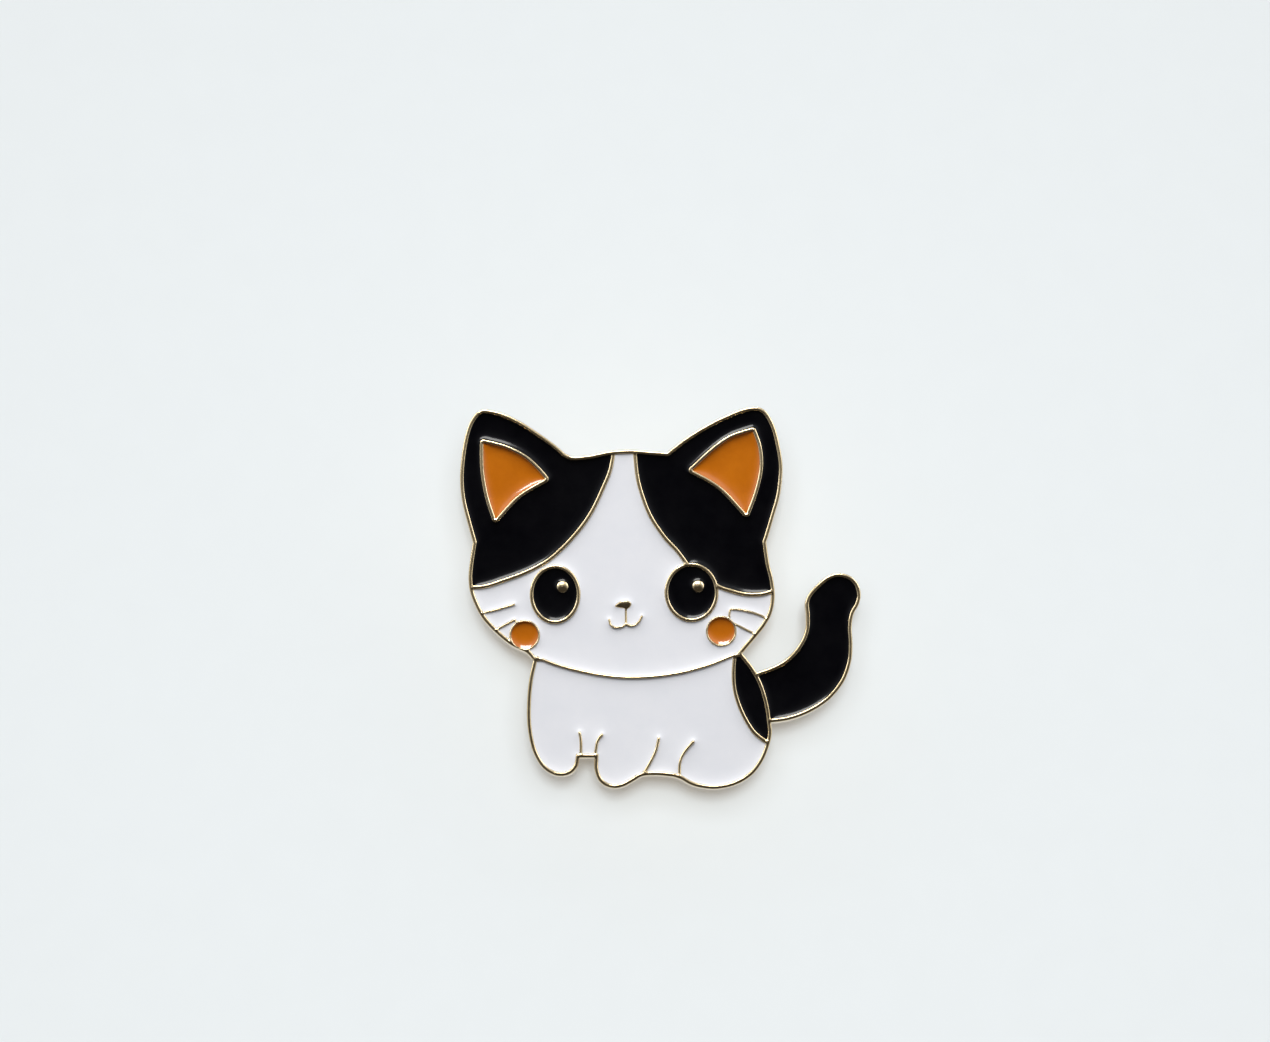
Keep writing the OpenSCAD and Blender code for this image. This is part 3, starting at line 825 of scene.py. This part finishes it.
def speckle(tree, size, detail=3.0, roughness=0.5, offset=0.0):
    """Noise from 0 to 1 whose features are about size mm across."""
    place = tree.nodes.new("ShaderNodeTexCoord")
    shift = tree.nodes.new("ShaderNodeVectorMath")
    shift.inputs[1].default_value = (offset * MM, 0, 0)
    texture = tree.nodes.new("ShaderNodeTexNoise")
    texture.inputs["Scale"].default_value = 1 / (size * MM)
    texture.inputs["Detail"].default_value = detail
    texture.inputs["Roughness"].default_value = roughness
    tree.links.new(place.outputs["Object"], shift.inputs[0])
    tree.links.new(shift.outputs[0], texture.inputs["Vector"])
    return texture.outputs["Fac"]


def ranged(tree, value, low, high, start=0.3, end=0.7):
    """Maps the values from start to end, usually the middle of a noise, onto low to high."""
    node = tree.nodes.new("ShaderNodeMapRange")
    node.inputs["From Min"].default_value = start
    node.inputs["From Max"].default_value = end
    node.inputs["To Min"].default_value = low
    node.inputs["To Max"].default_value = high
    tree.links.new(value, node.inputs["Value"])
    return node.outputs["Result"]


def blended(tree, value, *stops):
    """A colour ramp through the (position, colour) stops."""
    node = tree.nodes.new("ShaderNodeValToRGB")
    ramp = node.color_ramp
    while len(ramp.elements) < len(stops):
        ramp.elements.new(0.5)
    for element, (position, colour) in zip(ramp.elements, stops):
        element.position = position
        element.color = (*colour, 1)
    tree.links.new(value, node.inputs["Fac"])
    return node.outputs["Color"]


def bumped(tree, shader, *layers):
    """Stacks bumps on a shader: each layer is a (noise, height in mm) pair."""
    normal = None
    for value, height in layers:
        node = tree.nodes.new("ShaderNodeBump")
        node.inputs["Distance"].default_value = height * MM
        tree.links.new(value, node.inputs["Height"])
        if normal:
            tree.links.new(normal, node.inputs["Normal"])
        normal = node.outputs["Normal"]
    tree.links.new(normal, shader.inputs["Normal"])


def place_split(tree):
    """A point's place as its three coordinates, in metres."""
    place = tree.nodes.new("ShaderNodeTexCoord")
    split = tree.nodes.new("ShaderNodeSeparateXYZ")
    tree.links.new(place.outputs["Object"], split.inputs["Vector"])
    return split.outputs


def maths(tree, kind, *values):
    """A sum on numbers or on other nodes' values."""
    node = tree.nodes.new("ShaderNodeMath")
    node.operation = kind
    for socket, value in zip(node.inputs, values):
        if isinstance(value, (int, float)):
            socket.default_value = value
        else:
            tree.links.new(value, socket)
    return node.outputs["Value"]


def spun(tree, size):
    """Noise in rings round each post, as turning and polishing leave."""
    x, _, z = place_split(tree)[:3]
    from_post = maths(tree, "SUBTRACT", maths(tree, "ABSOLUTE", x),
                      middle_of("right_post")[0] * MM)
    square = maths(tree, "ADD", maths(tree, "POWER", from_post, 2), maths(tree, "POWER", z, 2))
    texture = tree.nodes.new("ShaderNodeTexNoise")
    texture.noise_dimensions = "1D"
    texture.inputs["Scale"].default_value = 1 / (size * MM)
    tree.links.new(maths(tree, "SQRT", square), texture.inputs["W"])
    return texture.outputs["Fac"]


def plated(name, dark, light, backed=False, turned=0):
    """Plated and polished metal: uneven gloss, faint stains and a fine grain. Backed metal has
    a sandblasted back, and turned metal has rings round the posts, turned mm deep."""
    made, tree, shader = new_material(name, sum(METAL_ROUGHNESS) / 2, metallic=1.0)
    stain = speckle(tree, 1.4, detail=5)
    tree.links.new(blended(tree, stain, (0.32, dark), (0.62, light)), shader.inputs["Base Color"])
    gloss = ranged(tree, speckle(tree, 0.5, offset=7), *METAL_ROUGHNESS)
    layers = [(speckle(tree, 0.28, offset=3), METAL_GRAIN * 2),
              (speckle(tree, 0.05, offset=5), METAL_GRAIN / 2)]
    if backed:
        behind = ranged(tree, place_split(tree)["Y"], 0, 1, BLAST_FROM * MM, BLAST_TO * MM)
        gloss = maths(tree, "ADD", gloss, maths(tree, "MULTIPLY", behind, BLAST_ROUGHNESS))
        pebbles = maths(tree, "MULTIPLY", speckle(tree, 0.16, detail=2, offset=9), behind)
        layers.append((pebbles, BLAST_DEPTH))
    if turned:
        layers.append((spun(tree, 0.09), turned))
    tree.links.new(gloss, shader.inputs["Roughness"])
    bumped(tree, shader, *layers)
    return made


def enamelled(name, deep, light, specular):
    """Baked enamel: slightly clouded colour under a smooth, faintly rippled surface."""
    made, tree, shader = new_material(name, sum(ENAMEL_ROUGHNESS) / 2)
    cloud = speckle(tree, 2.2, detail=6, roughness=0.62)
    tree.links.new(blended(tree, cloud, (0.3, deep), (0.66, light)), shader.inputs["Base Color"])
    tree.links.new(ranged(tree, speckle(tree, 0.7, offset=2), *ENAMEL_ROUGHNESS),
                   shader.inputs["Roughness"])
    shader.inputs["Specular IOR Level"].default_value = specular
    bumped(tree, shader, (speckle(tree, 1.3, detail=1, offset=4), 0.004),
           (speckle(tree, 0.12, offset=6), 0.0002))
    return made


# ---- The studio ----

# Metres
FLOOR_Z = -0.06         # well under the camera's view
SWEEP = 1.6             # half the width of the floor and of the backdrop
GAP_BEHIND = 0.0006     # from the clutches to the backdrop
LAMP_DISTANCE = 0.42

BACKDROP_GLOW = 0.23
FLOOR_GLOW = 0.38
WORLD_LIGHT = 1.0
PAPER_ROUGHNESS = 0.75
PAPER_GRAIN = 1.015     # how much lighter the paper's lighter specks are


def stage_sheet(name, corners, material):
    """A flat sheet that belongs to the studio and not to the pin."""
    mesh = bpy.data.meshes.new(name)
    mesh.from_pydata(corners, [], [(0, 1, 2, 3)])
    mesh.materials.append(material)
    made = bpy.data.objects.new(name, mesh)
    bpy.context.scene.collection.objects.link(made)
    return made


def paper(name, colour):
    """Plain matt paper, faintly mottled."""
    made, tree, shader = new_material(name, PAPER_ROUGHNESS)
    grain = speckle(tree, 3.0, detail=6)
    lighter = [part * PAPER_GRAIN for part in colour]
    tree.links.new(blended(tree, grain, (0.3, colour), (0.7, lighter)),
                   shader.inputs["Base Color"])
    return made, tree, shader


def backdrop():
    """A softly glowing pale panel just behind the clutches. It is one-sided and casts no shadow,
    so the pin's back can be lit and seen through it."""
    made, tree, shader = paper("backdrop_panel", (0.30, 0.313, 0.322))
    # The glow's warm tint is painted light: gold-tinted bounce light, seen where the pin shades
    # the panel
    shader.inputs["Emission Color"].default_value = (1, 0.90, 0.76, 1)
    shader.inputs["Emission Strength"].default_value = BACKDROP_GLOW
    clear = tree.nodes.new("ShaderNodeBsdfTransparent")
    side = tree.nodes.new("ShaderNodeNewGeometry")
    choose = tree.nodes.new("ShaderNodeMixShader")
    tree.links.new(side.outputs["Backfacing"], choose.inputs["Fac"])
    tree.links.new(shader.outputs["BSDF"], choose.inputs[1])
    tree.links.new(clear.outputs["BSDF"], choose.inputs[2])
    tree.links.new(choose.outputs["Shader"], tree.nodes["Material Output"].inputs["Surface"])
    y = cad_box[1].y + GAP_BEHIND
    card = stage_sheet("backdrop", [(-SWEEP, y, FLOOR_Z), (SWEEP, y, FLOOR_Z),
                                    (SWEEP, y, SWEEP), (-SWEEP, y, SWEEP)], made)
    card.visible_shadow = False
    return card


def floor():
    """Softly glowing pale paper, which the pin neither mirrors nor is lit from."""
    made, _, shader = paper("floor_paper", (0.24, 0.25, 0.255))
    shader.inputs["Emission Color"].default_value = (0.94, 0.975, 1, 1)
    shader.inputs["Emission Strength"].default_value = FLOOR_GLOW
    sheet = stage_sheet("floor", [(-SWEEP, -SWEEP, FLOOR_Z), (SWEEP, -SWEEP, FLOOR_Z),
                                  (SWEEP, SWEEP, FLOOR_Z), (-SWEEP, SWEEP, FLOOR_Z)], made)
    sheet.visible_glossy = False
    sheet.visible_diffuse = False
    return sheet


def direction(azimuth, elevation):
    """Unit vector from the pin. Azimuth 0 is in front of its face and 90 is on its right."""
    a, e = math.radians(azimuth), math.radians(elevation)
    return Vector((math.sin(a) * math.cos(e), -math.cos(a) * math.cos(e), math.sin(e)))


def aimed(thing, place, target):
    """Puts a lamp or a camera in its place, looking at the target."""
    thing.location = place
    thing.rotation_mode = "QUATERNION"
    thing.rotation_quaternion = (target - place).to_track_quat("-Z", "Y")
    bpy.context.scene.collection.objects.link(thing)
    return thing


def softbox(name, azimuth, elevation, size, power, colour=(1, 1, 1)):
    """A lamp with a width and a height in metres and a power in watts."""
    light = bpy.data.lights.new(name, "AREA")
    light.shape = "RECTANGLE"
    light.size, light.size_y = size
    light.energy = power
    light.color = colour
    target = (cad_box[0] + cad_box[1]) / 2
    lamp = bpy.data.objects.new(name, light)
    return aimed(lamp, target + direction(azimuth, elevation) * LAMP_DISTANCE, target)


def lit_only(lamp, thing):
    """Makes a lamp light one object and nothing else."""
    group = bpy.data.collections.new(lamp.name + "_group")
    group.objects.link(thing)
    lamp.light_linking.receiver_collection = group


def kept_off(lamp, thing):
    """Makes a lamp light everything except one object."""
    lit_only(lamp, thing)
    group = lamp.light_linking.receiver_collection
    group.collection_objects[0].light_linking.link_state = "EXCLUDE"


def surroundings():
    """Pale light from all round except from low in front, so that flat enamel stays dark; the
    camera sees an even grey."""
    world = bpy.data.worlds.new("studio")
    bpy.context.scene.world = world
    world.use_nodes = True
    tree = world.node_tree
    tree.nodes.clear()
    place = tree.nodes.new("ShaderNodeTexCoord")
    towards = tree.nodes.new("ShaderNodeVectorMath")
    towards.operation = "DOT_PRODUCT"
    towards.inputs[1].default_value = direction(0, -35)
    tree.links.new(place.outputs["Generated"], towards.inputs[0])
    around = ranged(tree, towards.outputs["Value"], 0, 1, start=1, end=-1)
    sky = blended(tree, around, (0.16, (0.05, 0.045, 0.04)), (0.26, (0.24, 0.24, 0.24)),
                  (0.38, (0.85, 0.90, 0.95)), (1.0, (0.90, 0.95, 1.0)))
    lighting = tree.nodes.new("ShaderNodeBackground")
    tree.links.new(sky, lighting.inputs["Color"])
    lighting.inputs["Strength"].default_value = WORLD_LIGHT
    seen = tree.nodes.new("ShaderNodeBackground")
    seen.inputs["Color"].default_value = (0.80, 0.82, 0.84, 1)
    path = tree.nodes.new("ShaderNodeLightPath")
    choose = tree.nodes.new("ShaderNodeMixShader")
    out = tree.nodes.new("ShaderNodeOutputWorld")
    tree.links.new(path.outputs["Is Camera Ray"], choose.inputs["Fac"])
    tree.links.new(lighting.outputs["Background"], choose.inputs[1])
    tree.links.new(seen.outputs["Background"], choose.inputs[2])
    tree.links.new(choose.outputs["Shader"], out.inputs["Surface"])


# The camera looks from a little below, with the pin low and right of the view's middle
VIEW_ELEVATION = -8
LENS_MM = 85
SENSOR_MM = 36
WIDTH_SHARE = 0.3155    # of the view's width that the pin takes
AIM_RIGHT = -0.062      # from the pin's middle to the view's, in pin widths
AIM_UP = 0.197          # and in pin heights


def camera():
    """The camera, as far off as gives the pin its share of the view's width."""
    low, high = cad_box
    size = high - low
    target = Vector(((low.x + high.x) / 2 + AIM_RIGHT * size.x, low.y,
                     (low.z + high.z) / 2 + AIM_UP * size.z))
    distance = size.x / WIDTH_SHARE * LENS_MM / SENSOR_MM
    data = bpy.data.cameras.new("camera")
    data.lens = LENS_MM
    data.sensor_width = SENSOR_MM
    data.clip_start, data.clip_end = 0.01, 20
    made = bpy.data.objects.new("camera", data)
    aimed(made, target + direction(0, VIEW_ELEVATION) * distance, target)
    bpy.context.scene.camera = made


# ---- Everything in its place ----

camera()
surroundings()
card = backdrop()
floor()
lamps = [
    softbox("key_light", -12, 50, (0.26, 0.14), 1.9, colour=(1.0, 0.985, 0.96)),
    softbox("side_light", 70, 20, (0.12, 0.3), 0.15),
    softbox("back_light_left", 215, 35, (0.25, 0.25), 1.2),
    softbox("back_light_right", 140, 20, (0.2, 0.3), 0.7),
]
for lamp in lamps:
    kept_off(lamp, card)
for lamp_name, width, power in (("backdrop_soft_light", 0.17, 2.05),
                                ("backdrop_small_light", 0.04, 1.62)):
    lamp = softbox(lamp_name, 0, -1, (width, width), power, colour=(0.9, 0.96, 1.0))
    lit_only(lamp, card)
plate_lamps = [
    softbox("sheen_light", -8, 14, (0.24, 0.1), 0.03),
    softbox("left_glint", -70, 32, (0.2, 0.25), 0.6),
    softbox("right_glint", 70, 36, (0.2, 0.25), 0.5),
]
bpy.context.scene.view_settings.view_transform = "Standard"

gold = plated("gold_plating", (0.66, 0.52, 0.30), (0.73, 0.59, 0.37), backed=True)
post_metal = plated("post_plating", (0.66, 0.52, 0.27), (0.80, 0.66, 0.40))
clutch_brass = plated("clutch_brass", (0.72, 0.55, 0.29), (0.82, 0.66, 0.37), turned=0.002)
spring_brass = plated("spring_brass", (0.70, 0.52, 0.25), (0.80, 0.62, 0.32))
ENAMELS = {
    "white_enamel": enamelled("white_enamel", (0.79, 0.80, 0.845), (0.82, 0.825, 0.865),
                              specular=0.2),
    "black_enamel": enamelled("black_enamel", (0.001, 0.001, 0.002), (0.003, 0.003, 0.004),
                              specular=0.2),
    "orange_enamel": enamelled("orange_enamel", (0.48, 0.125, 0.002), (0.56, 0.155, 0.004),
                               specular=0.9),
}

for node_name, slot_name in SLOT_OF.items():
    if slot_name in ENAMELS:
        enamel_pool(node_name, ENAMELS[slot_name])
plate = struck_plate(gold)
for lamp in plate_lamps:
    lit_only(lamp, plate)

for side in ("left", "right"):
    post(side + "_post", post_metal)
    clutch(side, clutch_brass, spring_brass)
